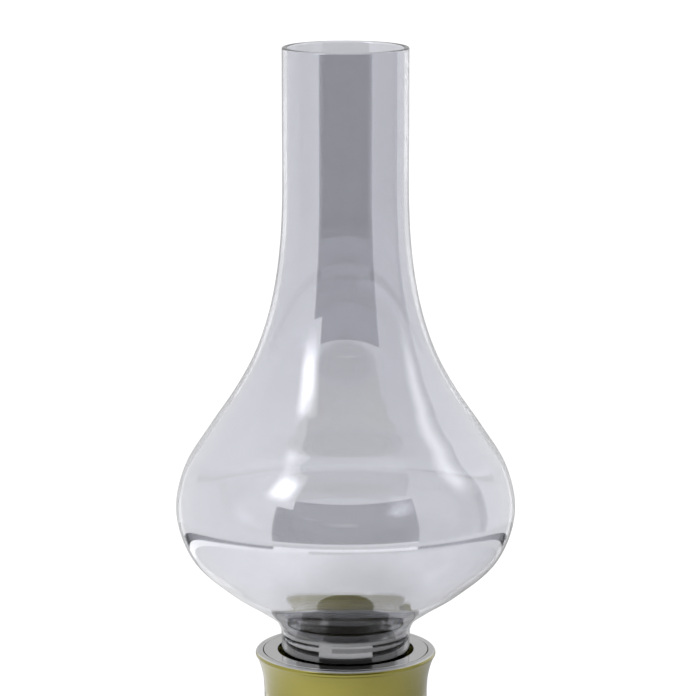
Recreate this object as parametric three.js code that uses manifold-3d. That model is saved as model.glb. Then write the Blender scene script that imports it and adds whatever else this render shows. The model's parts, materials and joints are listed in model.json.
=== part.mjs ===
// A table oil lamp: a wide spun-brass font with a screwed-on burner head, and a tall onion-shaped
// smoked-glass chimney that stands in the burner head's cup. Millimetres, +Z up.
// The origin is the middle of the underside, on the table. The wick knob points along +X.

import * as THREE from "three";
import { mergeVertices } from "three/addons/utils/BufferGeometryUtils.js";
import Module from "manifold-3d";

const wasm = await Module();
wasm.setup();

// ---- Driving dimensions -------------------------------------------------------------------

const GAP = 0.3; // between two pieces that rest on each other
const SHELL_SEGMENTS = 32; // round the large shells
const SMALL_SEGMENTS = 24; // round the small turned pieces

const RING_TOP = 132; // height of the collar ring's flat top
const RING_RADIUS = 33.6;
const RING_HOLE = 27.9;
const RING_THICKNESS = 1.0;

const LIP_RADIUS = 36.9; // outside of the rolled bead that frames the collar ring
const BEAD_RADIUS = 1.5; // the bead's own section

const CHIMNEY_FOOT_RADIUS = 26.25; // a 52.5 mm chimney fitter
const CHIMNEY_FOOT_DEPTH = 9.4; // how far the foot stands below the ring's top
const CHIMNEY_WALL = 2.0;
// Outside of the chimney: height above the ring's top, radius.
const CHIMNEY_OUTLINE = [
  [-CHIMNEY_FOOT_DEPTH, CHIMNEY_FOOT_RADIUS],
  [0, CHIMNEY_FOOT_RADIUS],
  [6, 26.3],
  [9.5, 26.7],
  [13.6, 29.3],
  [18.5, 36.2],
  [27, 49.1],
  [40, 62.9],
  [58, 69.0],
  [76, 65.6],
  [92, 55.9],
  [108, 45.0],
  [124, 36.4],
  [142, 30.5],
  [162, 27.0],
  [184, 25.55],
  [215, 25.5],
  [247.3, 25.5],
];

const CASING_WALL = 1.0;
const CASING_RADIUS = 33.4; // the burner head's straight neck
// Outside of the casing where it flares towards its bead: height, radius.
const FLARE_OUTLINE = [
  [115, CASING_RADIUS],
  [120, 33.75],
  [123.5, 34.4],
  [126.4, 35.2],
  [128.6, 36.05],
];

const FONT_TOP = 85; // height of the font's flat deck
const FONT_WALL = 1.2;
const FONT_FOOT = 1.0; // clearance of the font's bottom edge above the table
// Outside of the font: height, radius.
const FONT_OUTLINE = [
  [FONT_FOOT, 51.2],
  [5, 55.6],
  [16, 61.2],
  [29, 63.0],
  [43, 60.6],
  [56, 53.6],
  [66.5, 45.0],
  [75, 38.2],
  [81, 35.0],
  [FONT_TOP, 34.2],
];

const COLLAR_BORE = 19.4; // inside radius of the font's threaded collar
const THREAD_RADIUS = 19.1; // outside radius of the burner's thread

const SEAT_TOP = RING_TOP - CHIMNEY_FOOT_DEPTH - GAP;
const SEAT_THICKNESS = 1.2;

const WICK_WIDTH = 24;
const WICK_THICKNESS = 2.6;
const WICK_BOTTOM = 18;
const WICK_TOP = 143.2;
const WICK_TUBE_TOP = 142;

const SHAFT_HEIGHT = 98;
const SHAFT_RADIUS = 1.4;
const STAR_TIP_RADIUS = 5.0;
const STAR_ROOT_RADIUS = 3.7;
const STAR_TEETH = 10;
const STAR_SPACING = 13; // between the two star wheels
const SHAFT_Y = WICK_THICKNESS / 2 + GAP + STAR_TIP_RADIUS; // the teeth reach the wick's back

// ---- Materials ----------------------------------------------------------------------------

const finish = (color, roughness, metalness) =>
  new THREE.MeshStandardMaterial({ color, roughness, metalness });

const materials = {
  olive: finish(0x9c994f, 0.32, 0.9),
  nickel: finish(0xb4b4b4, 0.12, 1.0),
  brass: finish(0xb08d4a, 0.35, 1.0),
  steel: finish(0x9a9a9c, 0.3, 1.0),
  cotton: finish(0xe6e0d0, 0.95, 0.0),
  felt: finish(0x2f3029, 1.0, 0.0),
  cork: finish(0xa9794a, 0.9, 0.0),
  glass: new THREE.MeshStandardMaterial({
    color: 0x9fa0aa,
    roughness: 0.03,
    metalness: 0.0,
    transparent: true,
    opacity: 0.5,
  }),
};

// ---- Shape helpers ------------------------------------------------------------------------

const vector = ([z, r]) => new THREE.Vector2(r, z);

// A smooth curve through [height, radius] points, as [height, radius] points.
function smooth(outline, divisions) {
  const curve = new THREE.SplineCurve(outline.map(vector));
  return curve.getPoints(divisions).map((p) => [p.y, p.x]);
}

// The outline moved towards the axis by a wall's thickness, square to the wall.
function insideOf(outline, wall) {
  return outline.map(([z, r], i) => {
    const [z0, r0] = outline[Math.max(i - 1, 0)];
    const [z1, r1] = outline[Math.min(i + 1, outline.length - 1)];
    const length = Math.hypot(z1 - z0, r1 - r0);
    return [z + (wall * (r1 - r0)) / length, r - (wall * (z1 - z0)) / length];
  });
}

// Turns a closed [height, radius] profile about the Z axis.
function turned(profile, segments = SMALL_SEGMENTS) {
  const loop = profile.map(vector);
  const area = THREE.ShapeUtils.area(loop);
  if (area < 0) loop.reverse();
  loop.push(loop[0].clone());
  return new THREE.LatheGeometry(loop, segments).rotateX(Math.PI / 2);
}

// A flat ring, or a disc when inner is 0.
function ring(inner, outer, bottom, top, segments = SMALL_SEGMENTS) {
  const profile = [
    [bottom, inner],
    [bottom, outer],
    [top, outer],
    [top, inner],
  ];
  return turned(profile, segments);
}

function box(width, depth, height, x, y, z) {
  return new THREE.BoxGeometry(width, depth, height).translate(x, y, z);
}

// A rod parallel to X, from x0 to x1.
function rodAlongX(radius, x0, x1, y, z, segments = 16) {
  return new THREE.CylinderGeometry(radius, radius, x1 - x0, segments)
    .rotateZ(Math.PI / 2)
    .translate((x0 + x1) / 2, y, z);
}

// A rod parallel to Z.
function rodAlongZ(radius, z0, z1, x, y, segments = 12) {
  return new THREE.CylinderGeometry(radius, radius, z1 - z0, segments)
    .rotateX(Math.PI / 2)
    .translate(x, y, (z0 + z1) / 2);
}

// A flat outline in the YZ plane, thickened along X about the given middle.
function plateAcrossX(shape, thickness, x, y, z) {
  return new THREE.ExtrudeGeometry(shape, { depth: thickness, bevelEnabled: false, curveSegments: 6 })
    .translate(0, 0, -thickness / 2)
    .rotateX(Math.PI / 2)
    .rotateZ(Math.PI / 2)
    .translate(x, y, z);
}

function solidOf(geometry) {
  const bare = geometry.clone();
  bare.deleteAttribute("normal");
  bare.deleteAttribute("uv");
  const merged = mergeVertices(bare, 1e-4);
  return new wasm.Manifold(
    new wasm.Mesh({
      numProp: 3,
      vertProperties: merged.attributes.position.array,
      triVerts: new Uint32Array(merged.index.array),
    }),
  );
}

function geometryOf(solid) {
  const mesh = solid.getMesh();
  return new THREE.BufferGeometry()
    .setAttribute("position", new THREE.BufferAttribute(mesh.vertProperties, 3))
    .setIndex(new THREE.BufferAttribute(mesh.triVerts, 1));
}

function cut(body, ...tools) {
  return geometryOf(tools.reduce((left, tool) => left.subtract(solidOf(tool)), solidOf(body)));
}

function joined(...pieces) {
  return geometryOf(pieces.slice(1).reduce((sum, p) => sum.add(solidOf(p)), solidOf(pieces[0])));
}

// The same tool at equal steps round the Z axis.
function around(count, make, firstAngle = 0) {
  return Array.from({ length: count }, (_, i) => {
    const angle = firstAngle + (2 * Math.PI * i) / count;
    return make(angle).rotateZ(angle);
  });
}

function roundedRectangle(width, depth, radius) {
  const [w, d, r] = [width / 2, depth / 2, radius];
  const shape = new THREE.Shape();
  shape.moveTo(-w + r, -d);
  shape.lineTo(w - r, -d);
  shape.absarc(w - r, -d + r, r, -Math.PI / 2, 0);
  shape.absarc(w - r, d - r, r, 0, Math.PI / 2);
  shape.absarc(-w + r, d - r, r, Math.PI / 2, Math.PI);
  shape.absarc(-w + r, -d + r, r, Math.PI, 1.5 * Math.PI);
  return shape;
}

// ---- The font and what stays on it ----------------------------------------------------------

function feltDisc() {
  return ring(0, 49, 0, 2, SHELL_SEGMENTS);
}

function basePlate() {
  return ring(0, 50.6, 2 + GAP, 3.6, SHELL_SEGMENTS);
}

// Spun shell with a flat deck, open at the bottom edge and at the collar hole.
function fontShell() {
  const outside = smooth(FONT_OUTLINE, 14);
  const inside = insideOf(outside, FONT_WALL);
  inside[0] = [FONT_FOOT, outside[0][1] - FONT_WALL];
  inside[inside.length - 1] = [FONT_TOP - FONT_WALL, outside.at(-1)[1] - FONT_WALL];
  const collarHole = 22.8;
  const deck = [
    [FONT_TOP, collarHole],
    [FONT_TOP - FONT_WALL, collarHole],
  ];
  return turned([...outside, ...deck, ...inside.reverse()], SHELL_SEGMENTS);
}

// Threaded ring soldered into the deck: a sleeve with a flange on top.
function fontCollar() {
  const sleeve = 22.4;
  const flangeBottom = FONT_TOP + GAP;
  return turned([
    [78, COLLAR_BORE],
    [78, sleeve],
    [flangeBottom, sleeve],
    [flangeBottom, 25.5],
    [flangeBottom + 1.2, 25.5],
    [flangeBottom + 1.2, COLLAR_BORE],
  ]);
}

// Cork ring between the burner head and the font.
function collarGasket() {
  return ring(26, 31, FONT_TOP + GAP, FONT_TOP + 1.8);
}

// ---- The burner head ------------------------------------------------------------------------

const CASING_BOTTOM = FONT_TOP + 2.1;
const CASING_MOUTH = 22; // radius of the hole in the casing's floor
const FLANGE_BOTTOM = CASING_BOTTOM + CASING_WALL + GAP;
const FLANGE_TOP = FLANGE_BOTTOM + 1.2;
const AIR_INLETS = 16;
const BUSHING_RADIUS = 3.2;
const SCREW_CIRCLE = 27;
const SCREW_COUNT = 3;
const SCREW_HOLE = 1.4;
const TUBE_WALL = 0.6;
const TUBE_WIDTH = WICK_WIDTH + 2.2 + 2 * TUBE_WALL;
const TUBE_DEPTH = WICK_THICKNESS + 1.4 + 2 * TUBE_WALL;
const VENT_RADIUS = 1.5;
const VENT_Y = -11;
const EAR_X = 11; // the winder bracket's ears

const screwHoles = () =>
  around(SCREW_COUNT, () => rodAlongZ(SCREW_HOLE, CASING_BOTTOM - 1, FLANGE_TOP + 1, SCREW_CIRCLE, 0));

// Cup with a straight neck that flares to a rolled bead, with air inlets round its foot.
// The bead is pressed flat on top, flush with the collar ring inside it.
function burnerCasing() {
  const flare = smooth(FLARE_OUTLINE, 6);
  const [beadHeight, beadMiddle] = [RING_TOP - BEAD_RADIUS, LIP_RADIUS - BEAD_RADIUS];
  const bead = Array.from({ length: 7 }, (_, i) => {
    const angle = THREE.MathUtils.degToRad(-50 + (140 * i) / 6);
    return [beadHeight + BEAD_RADIUS * Math.sin(angle), beadMiddle + BEAD_RADIUS * Math.cos(angle)];
  });
  const beadInside = RING_RADIUS + GAP;
  const floorTop = CASING_BOTTOM + CASING_WALL;
  const profile = [
    [CASING_BOTTOM, CASING_MOUTH],
    [CASING_BOTTOM, CASING_RADIUS - 1.2],
    [CASING_BOTTOM + 1.2, CASING_RADIUS],
    ...flare,
    ...bead,
    [RING_TOP, beadInside],
    [beadHeight, beadInside],
    ...insideOf(flare, CASING_WALL).reverse(),
    [floorTop, CASING_RADIUS - CASING_WALL],
    [floorTop, CASING_MOUTH],
  ];
  const inlets = around(AIR_INLETS, () => rodAlongX(2.2, 28, 38, 0, 93.2, 8), Math.PI / AIR_INLETS);
  inlets.splice(0, 1); // the shaft's bushing takes this inlet's place
  const shaftHole = rodAlongX(BUSHING_RADIUS + GAP, 25, 40, SHAFT_Y, SHAFT_HEIGHT, 16);
  return cut(turned(profile, SHELL_SEGMENTS), ...inlets, shaftHole, ...screwHoles());
}

// Flat polished ring inside the bead, with a short skirt that grips the casing's mouth.
function collarRing() {
  const bottom = RING_TOP - RING_THICKNESS;
  const skirtWall = 0.7;
  return turned(
    [
      [bottom, RING_HOLE],
      [bottom, RING_RADIUS - skirtWall],
      [bottom - 3.4, RING_RADIUS - skirtWall],
      [bottom - 3.4, RING_RADIUS],
      [RING_TOP - 0.2, RING_RADIUS],
      [RING_TOP, RING_RADIUS - 0.2],
      [RING_TOP, RING_HOLE + 0.4],
      [RING_TOP - 0.4, RING_HOLE],
    ],
    SHELL_SEGMENTS,
  );
}

// Hat-shaped floor of the burner: threaded skirt, flange, and a top with the wick tube's slot.
function burnerBody() {
  const bore = THREAD_RADIUS - 1.5;
  const hat = turned([
    [FLANGE_BOTTOM, 0],
    [FLANGE_BOTTOM, bore],
    [78, bore],
    [78, THREAD_RADIUS],
    [FLANGE_BOTTOM, THREAD_RADIUS],
    [FLANGE_BOTTOM, 30],
    [FLANGE_TOP, 30],
    [FLANGE_TOP, 0],
  ]);
  const slot = box(TUBE_WIDTH + 2 * GAP, TUBE_DEPTH + 2 * GAP, 10, 0, 0, FLANGE_TOP);
  const vent = rodAlongZ(VENT_RADIUS + GAP, FLANGE_BOTTOM - 2, FLANGE_TOP + 2, 0, VENT_Y);
  return cut(hat, slot, vent, ...screwHoles());
}

// Screw that holds the burner's floor to the casing.
function casingScrew(angle) {
  const headTop = FLANGE_TOP + GAP + 1.3;
  const screw = turned(
    [
      [CASING_BOTTOM + 0.1, 0],
      [CASING_BOTTOM + 0.1, 1.1],
      [FLANGE_TOP + GAP, 1.1],
      [FLANGE_TOP + GAP, 2.2],
      [headTop - 0.4, 2.2],
      [headTop, 1.6],
      [headTop, 0],
    ],
    12,
  );
  const slot = box(5, 0.6, 0.8, 0, 0, headTop);
  return cut(screw, slot).translate(SCREW_CIRCLE, 0, 0).rotateZ(angle);
}

// Windowed tube that carries the chimney seat and lets air in to the flame.
function burnerBasket() {
  const [inner, outer] = [23.0, 23.8];
  const wall = ring(inner, outer, FLANGE_TOP + GAP, SEAT_TOP - SEAT_THICKNESS - GAP, SHELL_SEGMENTS);
  const rows = [105.5, 116];
  const windows = rows.flatMap((z) => around(12, () => box(6, 6.6, 7, 23.4, 0, z)));
  const shaftHole = rodAlongX(SHAFT_RADIUS + 1, 15, 30, SHAFT_Y, SHAFT_HEIGHT);
  return cut(wall, ...windows, shaftHole);
}

const SPRING_ANGLES = [45, 135, 225, 315].map(THREE.MathUtils.degToRad);
const RIVET_CIRCLE = 29.9;

// Flat ring that the chimney's foot stands on.
function chimneySeat() {
  const plate = ring(20.4, 31.6, SEAT_TOP - SEAT_THICKNESS, SEAT_TOP, SHELL_SEGMENTS);
  const holes = SPRING_ANGLES.map((a) =>
    rodAlongZ(1.0, SEAT_TOP - 3, SEAT_TOP + 2, RIVET_CIRCLE, 0, 10).rotateZ(a),
  );
  return cut(plate, ...holes);
}

// Leaf spring that steadies the chimney's foot: a foot on the seat and a bowed blade.
function chimneySpring(angle) {
  const thickness = 0.5;
  const foot = SEAT_TOP + GAP;
  const blade = smooth(
    [
      [foot, 27.9],
      [foot + 2, 27.2],
      [foot + 4.4, CHIMNEY_FOOT_RADIUS + GAP],
      [foot + 6.2, 27.4],
    ],
    6,
  ).map(([z, r]) => new THREE.Vector2(r, z));
  const back = blade.map((p) => new THREE.Vector2(p.x + thickness, p.y)).reverse();
  back[back.length - 1].y += thickness;
  const footEnd = [new THREE.Vector2(31.3, foot + thickness), new THREE.Vector2(31.3, foot)];
  const shape = new THREE.Shape([...blade, ...back, ...footEnd]);
  const width = 5;
  const spring = new THREE.ExtrudeGeometry(shape, { depth: width, bevelEnabled: false })
    .translate(0, 0, -width / 2)
    .rotateX(Math.PI / 2);
  const hole = rodAlongZ(1.0, SEAT_TOP - 1, SEAT_TOP + 2, RIVET_CIRCLE, 0, 10);
  return cut(spring, hole).rotateZ(angle);
}

function springRivet(angle) {
  const under = SEAT_TOP - SEAT_THICKNESS - 0.2;
  const over = SEAT_TOP + GAP + 0.5 + 0.2;
  return turned(
    [
      [under - 0.6, 0],
      [under - 0.6, 1.0],
      [under, 1.4],
      [under, 0.75],
      [over, 0.75],
      [over, 1.4],
      [over + 0.6, 1.0],
      [over + 0.6, 0],
    ],
    10,
  )
    .translate(RIVET_CIRCLE, 0, 0)
    .rotateZ(angle);
}

// Flat tube round the wick, with two windows in its back for the star wheels.
function wickTube() {
  const shape = roundedRectangle(TUBE_WIDTH, TUBE_DEPTH, 1.6);
  const bore = roundedRectangle(TUBE_WIDTH - 2 * TUBE_WALL, TUBE_DEPTH - 2 * TUBE_WALL, 1.0);
  shape.holes.push(bore);
  const bottom = 76;
  const tube = new THREE.ExtrudeGeometry(shape, {
    depth: WICK_TUBE_TOP - bottom,
    bevelEnabled: false,
    curveSegments: 4,
  }).translate(0, 0, bottom);
  const windows = [-1, 1].map((side) =>
    box(2.6, 3, 2 * STAR_TIP_RADIUS - 1.4, (side * STAR_SPACING) / 2, TUBE_DEPTH / 2, SHAFT_HEIGHT),
  );
  return cut(tube, ...windows);
}

// Small tube that lets air into the font as fuel leaves it.
function ventTube() {
  return ring(1.0, VENT_RADIUS, 80, 104, 12).translate(0, VENT_Y, 0);
}

// U-shaped bracket on the back of the wick tube: two ears that carry the shaft.
function winderBracket() {
  const front = TUBE_DEPTH / 2 + GAP;
  const depth = SHAFT_Y + 3.4 - front;
  const middleY = front + depth / 2;
  const ears = [-1, 1].map((side) => box(1, depth, 14, side * EAR_X, middleY, SHAFT_HEIGHT));
  const web = box(2 * EAR_X + 1, depth, 1, 0, middleY, SHAFT_HEIGHT - 7.5);
  const bore = rodAlongX(SHAFT_RADIUS + 0.35, -20, 20, SHAFT_Y, SHAFT_HEIGHT);
  return cut(joined(web, ...ears), bore);
}

// Bushing in the casing's wall, its flange fitted to the round wall outside.
function shaftBushing() {
  const sleeve = rodAlongX(BUSHING_RADIUS, 30.4, 36, SHAFT_Y, SHAFT_HEIGHT, 20);
  const flange = cut(
    rodAlongX(5.2, 30, 35.4, SHAFT_Y, SHAFT_HEIGHT, 24),
    ring(0, CASING_RADIUS + GAP, 80, 115, 120),
  );
  return cut(joined(sleeve, flange), rodAlongX(SHAFT_RADIUS + 0.35, 20, 45, SHAFT_Y, SHAFT_HEIGHT));
}

// ---- The winder ------------------------------------------------------------------------------

const KNOB_START = 36.6;
const KNOB_THICKNESS = 5.4;
const KNOB_RADIUS = 9.6;
const SHAFT_END = KNOB_START + KNOB_THICKNESS - 0.9;

// Thin shaft with a groove for the clip at its inner end.
function winderShaft() {
  const groove = cut(
    rodAlongX(SHAFT_RADIUS + 1, -13.8, -12.8, SHAFT_Y, SHAFT_HEIGHT),
    rodAlongX(SHAFT_RADIUS - 0.45, -15, -11, SHAFT_Y, SHAFT_HEIGHT),
  );
  return cut(rodAlongX(SHAFT_RADIUS, -15, SHAFT_END, SHAFT_Y, SHAFT_HEIGHT), groove);
}

// Open ring snapped into the shaft's groove.
function shaftClip() {
  const outline = new THREE.Shape();
  const mouth = 0.7;
  outline.absarc(0, 0, 2.9, mouth, 2 * Math.PI - mouth, false);
  outline.absarc(0, 0, SHAFT_RADIUS - 0.2, 2 * Math.PI - mouth, mouth, true);
  return plateAcrossX(outline, 0.6, -13.3, SHAFT_Y, SHAFT_HEIGHT);
}

function starWheel(side) {
  const points = Array.from({ length: 2 * STAR_TEETH }, (_, i) => {
    const angle = (Math.PI * i) / STAR_TEETH;
    const radius = i % 2 ? STAR_ROOT_RADIUS : STAR_TIP_RADIUS;
    return new THREE.Vector2(radius * Math.cos(angle), radius * Math.sin(angle));
  });
  const outline = new THREE.Shape(points);
  outline.holes.push(new THREE.Path().absarc(0, 0, SHAFT_RADIUS + 0.2, 0, 2 * Math.PI, true));
  return plateAcrossX(outline, 1.2, (side * STAR_SPACING) / 2, SHAFT_Y, SHAFT_HEIGHT);
}

// Fluted knob with a hub towards the casing and a seat for its screw.
function wickKnob() {
  const flutes = 20;
  const steps = 4 * flutes;
  const points = Array.from({ length: steps }, (_, i) => {
    const angle = (2 * Math.PI * i) / steps;
    const radius = KNOB_RADIUS - 0.35 + 0.35 * Math.cos(flutes * angle);
    return new THREE.Vector2(radius * Math.cos(angle), radius * Math.sin(angle));
  });
  const start = KNOB_START + 1.4;
  const depth = KNOB_THICKNESS - 1.4;
  const disc = plateAcrossX(new THREE.Shape(points), depth, start + depth / 2, SHAFT_Y, SHAFT_HEIGHT);
  const hub = rodAlongX(4.2, KNOB_START, start + 1, SHAFT_Y, SHAFT_HEIGHT, 20);
  const bore = rodAlongX(SHAFT_RADIUS + 0.2, 30, 50, SHAFT_Y, SHAFT_HEIGHT);
  const screwSeat = rodAlongX(3.4, SHAFT_END, 50, SHAFT_Y, SHAFT_HEIGHT, 20);
  return cut(joined(disc, hub), bore, screwSeat);
}

// Slotted screw in the knob's face.
function knobScrew() {
  const start = SHAFT_END + GAP;
  const head = rodAlongX(3.0, start, start + 1.6, SHAFT_Y, SHAFT_HEIGHT, 20);
  return cut(head, box(0.9, 8, 0.7, start + 1.6, SHAFT_Y, SHAFT_HEIGHT));
}

// ---- Wick, flame dome and chimney -------------------------------------------------------------

function cottonWick() {
  const outline = roundedRectangle(WICK_WIDTH, WICK_THICKNESS, 0.9);
  return new THREE.ExtrudeGeometry(outline, {
    depth: WICK_TOP - WICK_BOTTOM,
    bevelEnabled: false,
    curveSegments: 3,
  }).translate(0, 0, WICK_BOTTOM);
}

// Sheet dome over the wick tube: a straight skirt, a round shoulder and a slot for the flame.
function flameDome() {
  const foot = SEAT_TOP + GAP;
  const sheet = 0.5;
  const [rimRadius, skirtRadius, topRadius] = [22.9, 20.8, 13];
  const [skirtHeight, rise] = [10, 14];
  const arc = Array.from({ length: 7 }, (_, i) => {
    const angle = (Math.PI / 12) * i;
    const height = foot + skirtHeight + rise * Math.sin(angle);
    return [height, topRadius + (skirtRadius - topRadius) * Math.cos(angle)];
  });
  const top = foot + skirtHeight + rise;
  const outside = [
    [foot + sheet, rimRadius],
    [foot + sheet, skirtRadius],
    ...arc.map(([z, r]) => [z + sheet, r]),
    [top + sheet, 0],
  ];
  const inside = [
    [foot, rimRadius],
    [foot, skirtRadius - sheet],
    ...arc.map(([z, r]) => [z, r - sheet]),
    [top, 0],
  ];
  const dome = turned([...outside, ...inside.reverse()]);
  return cut(dome, box(WICK_WIDTH + 1.8, WICK_THICKNESS + 2, 10, 0, 0, top));
}

// Blown glass chimney: foot, waist, onion belly and a long straight neck.
function chimney() {
  const outline = CHIMNEY_OUTLINE.map(([h, r]) => [RING_TOP + h, r]);
  const outside = smooth(outline, 24);
  const inside = insideOf(outside, CHIMNEY_WALL);
  const rim = outside.at(-1)[0];
  const foot = outside[0][0];
  inside[0] = [foot, CHIMNEY_FOOT_RADIUS - CHIMNEY_WALL];
  inside[inside.length - 1] = [rim, outside.at(-1)[1] - CHIMNEY_WALL];
  return turned([...outside, ...inside.reverse()], SHELL_SEGMENTS);
}

// ---- Assembly -------------------------------------------------------------------------------

const lamp = new THREE.Group();

function add(group, name, geometry, material) {
  const mesh = new THREE.Mesh(geometry, material);
  mesh.name = name;
  group.add(mesh);
}

const font = new THREE.Group();
add(font, "felt_disc", feltDisc(), materials.felt);
add(font, "base_plate", basePlate(), materials.brass);
add(font, "font_shell", fontShell(), materials.olive);
add(font, "font_collar", fontCollar(), materials.brass);
add(font, "collar_gasket", collarGasket(), materials.cork);

const burner = new THREE.Group();
add(burner, "burner_casing", burnerCasing(), materials.olive);
add(burner, "collar_ring", collarRing(), materials.nickel);
add(burner, "burner_body", burnerBody(), materials.brass);
add(burner, "burner_basket", burnerBasket(), materials.brass);
add(burner, "chimney_seat", chimneySeat(), materials.brass);
add(burner, "wick_tube", wickTube(), materials.brass);
add(burner, "vent_tube", ventTube(), materials.brass);
add(burner, "winder_bracket", winderBracket(), materials.brass);
add(burner, "shaft_bushing", shaftBushing(), materials.brass);
for (let i = 0; i < SCREW_COUNT; i++)
  add(burner, `casing_screw_${i + 1}`, casingScrew((2 * Math.PI * i) / SCREW_COUNT), materials.steel);
SPRING_ANGLES.forEach((angle, i) => {
  add(burner, `chimney_spring_${i + 1}`, chimneySpring(angle), materials.steel);
  add(burner, `spring_rivet_${i + 1}`, springRivet(angle), materials.brass);
});

const winder = new THREE.Group();
add(winder, "winder_shaft", winderShaft(), materials.steel);
add(winder, "shaft_clip", shaftClip(), materials.steel);
add(winder, "star_wheel_left", starWheel(-1), materials.steel);
add(winder, "star_wheel_right", starWheel(1), materials.steel);
add(winder, "wick_knob", wickKnob(), materials.olive);
add(winder, "knob_screw", knobScrew(), materials.steel);

const loose = new THREE.Group();
add(loose, "wick", cottonWick(), materials.cotton);
add(loose, "flame_dome", flameDome(), materials.brass);
add(loose, "chimney", chimney(), materials.glass);

lamp.add(font, burner, winder, loose);

export default lamp;
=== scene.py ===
"""A table oil lamp with a smoked-glass chimney: the looks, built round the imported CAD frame.

Lengths here are millimetres in the CAD frame (origin bottom centre, +Z up, knob towards +X), and the
mesh builders turn them into metres. Angles are degrees unless a name says otherwise.
"""

import json
import math

import bmesh
import bpy
from mathutils import Matrix, Vector


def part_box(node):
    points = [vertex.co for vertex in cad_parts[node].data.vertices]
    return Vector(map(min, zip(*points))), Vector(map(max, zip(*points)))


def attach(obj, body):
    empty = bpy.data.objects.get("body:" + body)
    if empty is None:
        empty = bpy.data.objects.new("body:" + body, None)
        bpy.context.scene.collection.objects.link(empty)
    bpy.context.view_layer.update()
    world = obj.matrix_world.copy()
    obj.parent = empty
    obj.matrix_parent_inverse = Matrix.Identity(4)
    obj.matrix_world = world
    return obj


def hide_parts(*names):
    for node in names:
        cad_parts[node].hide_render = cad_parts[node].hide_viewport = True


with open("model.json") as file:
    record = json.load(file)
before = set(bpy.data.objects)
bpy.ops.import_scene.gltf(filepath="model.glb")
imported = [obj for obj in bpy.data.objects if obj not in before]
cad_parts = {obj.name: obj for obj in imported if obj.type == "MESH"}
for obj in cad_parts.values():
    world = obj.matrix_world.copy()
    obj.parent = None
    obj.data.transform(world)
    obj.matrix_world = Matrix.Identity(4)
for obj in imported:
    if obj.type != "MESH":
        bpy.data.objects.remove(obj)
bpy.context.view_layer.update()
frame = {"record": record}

MM = 0.001
GAP = 0.3  # between two pieces that rest on each other
ROUND = 192  # segments round a large turned piece
SMALL_ROUND = 64  # segments round a small one
NODE_BODY = {n: body for body, nodes in frame["record"]["behaviour"]["bodies"].items() for n in nodes}


# ---- Shape helpers -----------------------------------------------------------------------------


def low(node, axis):
    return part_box(node)[0][axis] / MM


def high(node, axis):
    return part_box(node)[1][axis] / MM


RING_TOP = high("collar_ring", 2)  # the flat ring that the chimney's foot stands through


def spline(points, steps):
    """Catmull-Rom curve through [height, radius] points, with the given steps between two points."""
    last = len(points) - 1
    curve = []
    for i in range(last):
        p0, p1, p2, p3 = (Vector(points[min(max(k, 0), last)]) for k in (i - 1, i, i + 1, i + 2))
        v0, v1 = (p2 - p0) / 2, (p3 - p1) / 2
        for step in range(steps):
            t = step / steps
            cubic = (2 * p1 - 2 * p2 + v0 + v1) * t**3
            curve.append(cubic + (-3 * p1 + 3 * p2 - 2 * v0 - v1) * t**2 + v0 * t + p1)
    curve.append(Vector(points[last]))
    return [tuple(p) for p in curve]


def inside_of(outline, wall):
    """The outline moved towards the axis by a wall's thickness, square to the wall."""
    inner = []
    for i, (z, r) in enumerate(outline):
        z0, r0 = outline[max(i - 1, 0)]
        z1, r1 = outline[min(i + 1, len(outline) - 1)]
        length = math.hypot(z1 - z0, r1 - r0)
        inner.append((z + wall * (r1 - r0) / length, r - wall * (z1 - z0) / length))
    return inner


def rounded(profile, radius, steps=3):
    """The closed profile with its corners rounded, less where the edges beside a corner are short."""
    softened = []
    for i, corner in enumerate(profile):
        p = Vector(corner)
        before = Vector(profile[i - 1]) - p
        after = Vector(profile[(i + 1) % len(profile)]) - p
        on_axis = corner[1] < 1e-6
        turn = math.pi - before.angle(after, math.pi)
        if on_axis or turn < math.radians(25):
            softened.append(tuple(p))
            continue
        reach = min(radius * math.tan(turn / 2), 0.45 * before.length, 0.45 * after.length)
        start, end = p + before.normalized() * reach, p + after.normalized() * reach
        for step in range(steps + 1):
            t = step / steps
            softened.append(tuple(start * (1 - t) ** 2 + p * 2 * t * (1 - t) + end * t**2))
    return softened


def turned(profile, segments=SMALL_ROUND, radius_at=None):
    """Vertices and faces of a closed [height, radius] profile turned about the Z axis.

    radius_at(radius, height, angle) can change the radius point by point, for a thread or flutes.
    """
    area = sum(a[1] * b[0] - b[1] * a[0] for a, b in zip(profile, profile[1:] + profile[:1]))
    loop = profile if area > 0 else profile[::-1]
    vertices, rings = [], []
    for z, r in loop:
        if r < 1e-6:
            rings.append([len(vertices)] * segments)
            vertices.append((0.0, 0.0, z))
            continue
        rings.append(list(range(len(vertices), len(vertices) + segments)))
        for i in range(segments):
            angle = 2 * math.pi * i / segments
            here = radius_at(r, z, angle) if radius_at else r
            vertices.append((here * math.cos(angle), here * math.sin(angle), z))
    faces = []
    for below, above in zip(rings, rings[1:] + rings[:1]):
        for i in range(segments):
            j = (i + 1) % segments
            face = list(dict.fromkeys([below[i], below[j], above[j], above[i]]))
            if len(face) > 2:
                faces.append(face)
    return vertices, faces


def extruded(outline, bottom, top, rows=1):
    """A flat XY outline, anticlockwise, raised from bottom to top."""
    count = len(outline)
    vertices = []
    for row in range(rows + 1):
        z = bottom + (top - bottom) * row / rows
        vertices += [(x, y, z) for x, y in outline]
    faces = [list(range(count))[::-1], [rows * count + i for i in range(count)]]
    for row in range(rows):
        for i in range(count):
            j = (i + 1) % count
            a, b = row * count, (row + 1) * count
            faces.append([a + i, a + j, b + j, b + i])
    return vertices, faces


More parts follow.
